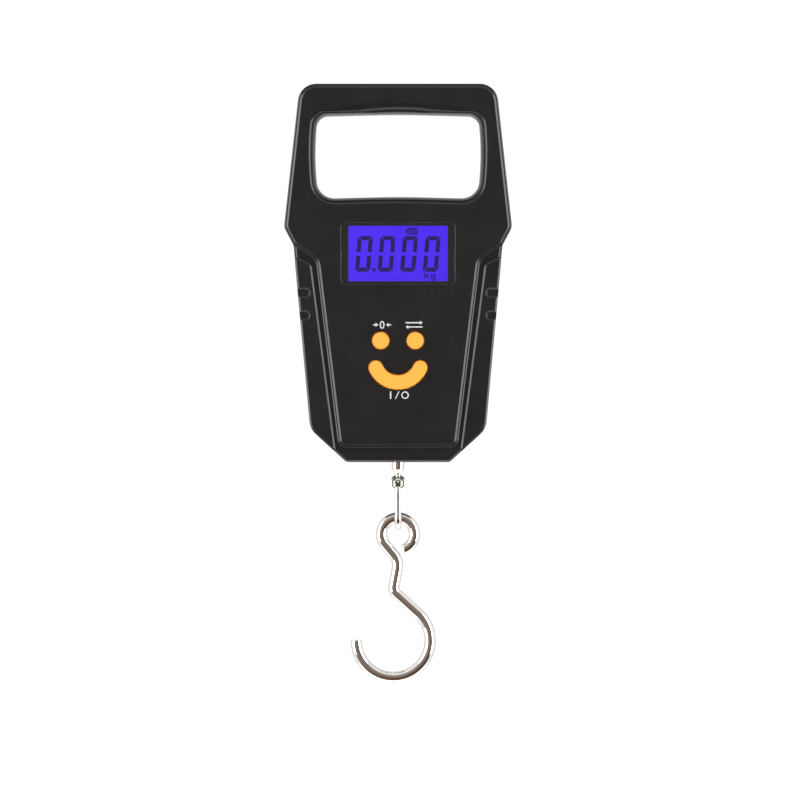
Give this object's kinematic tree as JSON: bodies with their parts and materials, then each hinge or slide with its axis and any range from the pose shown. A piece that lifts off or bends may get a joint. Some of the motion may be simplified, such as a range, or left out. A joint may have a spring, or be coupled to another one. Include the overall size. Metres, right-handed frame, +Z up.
{
  "type": "digital fish scale",
  "caption": "Hand-held hanging scale: grip, lit display, keys, battery door, and a swivelling eye with a link and a bent wire hook.",
  "frame": {"origin": "middle of the grip's underside, at the top edge of the grip opening, midway through the body's depth", "axes": "+Z up, from the hook to the grip; the display faces -Y; +X to the right as the display is read"},
  "size_m": [0.08, 0.0271, 0.2111],
  "materials": {
    "black_abs": "fine spark texture, satin black",
    "clear_acrylic": "clear, polished",
    "lcd_glass": "lit blue-violet display",
    "light_guide": "frosted white",
    "white_abs": "matt white",
    "zebra_rubber": "matt striped rubber",
    "green_board": "green solder mask",
    "black_epoxy": "glossy black blob",
    "solder_parts": "tinned small parts",
    "switch_body": "black nylon",
    "orange_key": "satin orange silicone",
    "switch_stem": "ivory nylon",
    "zinc_steel": "zinc plated",
    "beam_aluminium": "milled",
    "white_sealant": "white silicone",
    "wire_sleeve": "red sleeve",
    "wire_black": "black sleeve",
    "nickel_steel": "polished nickel plate",
    "cell_sleeve": "printed shrink sleeve",
    "contact_nickel": "nickel plated"
  },
  "bodies": {
    "case": {"front_cover": "black_abs", "rear_cover": "black_abs", "display_window": "clear_acrylic", "lcd_panel": "lcd_glass", "backlight": "light_guide", "display_frame": "white_abs", "zebra_strip": "zebra_rubber", "circuit_board": "green_board", "controller_chip": "black_epoxy", "board_parts": "solder_parts", "tact_switches": "switch_body", "board_screws": "zinc_steel", "case_screws": "zinc_steel", "load_cell_screws": "zinc_steel", "load_cell": "beam_aluminium", "gauge_potting": "white_sealant", "sensor_wires": "wire_sleeve", "battery_upper": "cell_sleeve", "battery_lower": "cell_sleeve", "battery_springs": "contact_nickel", "battery_contacts": "contact_nickel", "battery_wires": "wire_black"},
    "zero_key": {"zero_button": "orange_key", "zero_plunger": "switch_stem"},
    "unit_key": {"unit_button": "orange_key", "unit_plunger": "switch_stem"},
    "power_key": {"power_button": "orange_key", "power_plunger": "switch_stem"},
    "battery_door": {"battery_cover": "black_abs"},
    "swivel": {"swivel_eye": "nickel_steel", "swivel_washer": "zinc_steel", "swivel_nut": "zinc_steel"},
    "hanger": {"link": "nickel_steel"},
    "hook": {"hook": "nickel_steel"}
  },
  "joints": [
    {"name": "zero_press", "type": "slide", "parent": "case", "child": "zero_key", "axis": [0, 1, 0], "range_m": [0, 0.0005], "stiffness_N_per_m": 1500},
    {"name": "unit_press", "type": "slide", "parent": "case", "child": "unit_key", "axis": [0, 1, 0], "range_m": [0, 0.0005], "stiffness_N_per_m": 1500},
    {"name": "power_press", "type": "slide", "parent": "case", "child": "power_key", "axis": [0, 1, 0], "range_m": [0, 0.0005], "stiffness_N_per_m": 1500},
    {"name": "battery_door_tilt", "type": "hinge", "parent": "case", "child": "battery_door", "pos_m": [0, 0.013, -0.0461], "axis": [1, 0, 0], "range_deg": [0, 90]},
    {"name": "swivel_turn", "type": "hinge", "parent": "case", "child": "swivel", "pos_m": [0, 0, -0.1155], "axis": [0, 0, 1], "continuous": true},
    {"name": "link_swing", "type": "hinge", "parent": "swivel", "child": "hanger", "pos_m": [0, 0, -0.12965], "axis": [0, 1, 0], "range_deg": [-70, 70]},
    {"name": "hook_swing", "type": "hinge", "parent": "hanger", "child": "hook", "pos_m": [0, 0, -0.1421], "axis": [1, 0, 0], "range_deg": [-90, 90]}
  ]
}
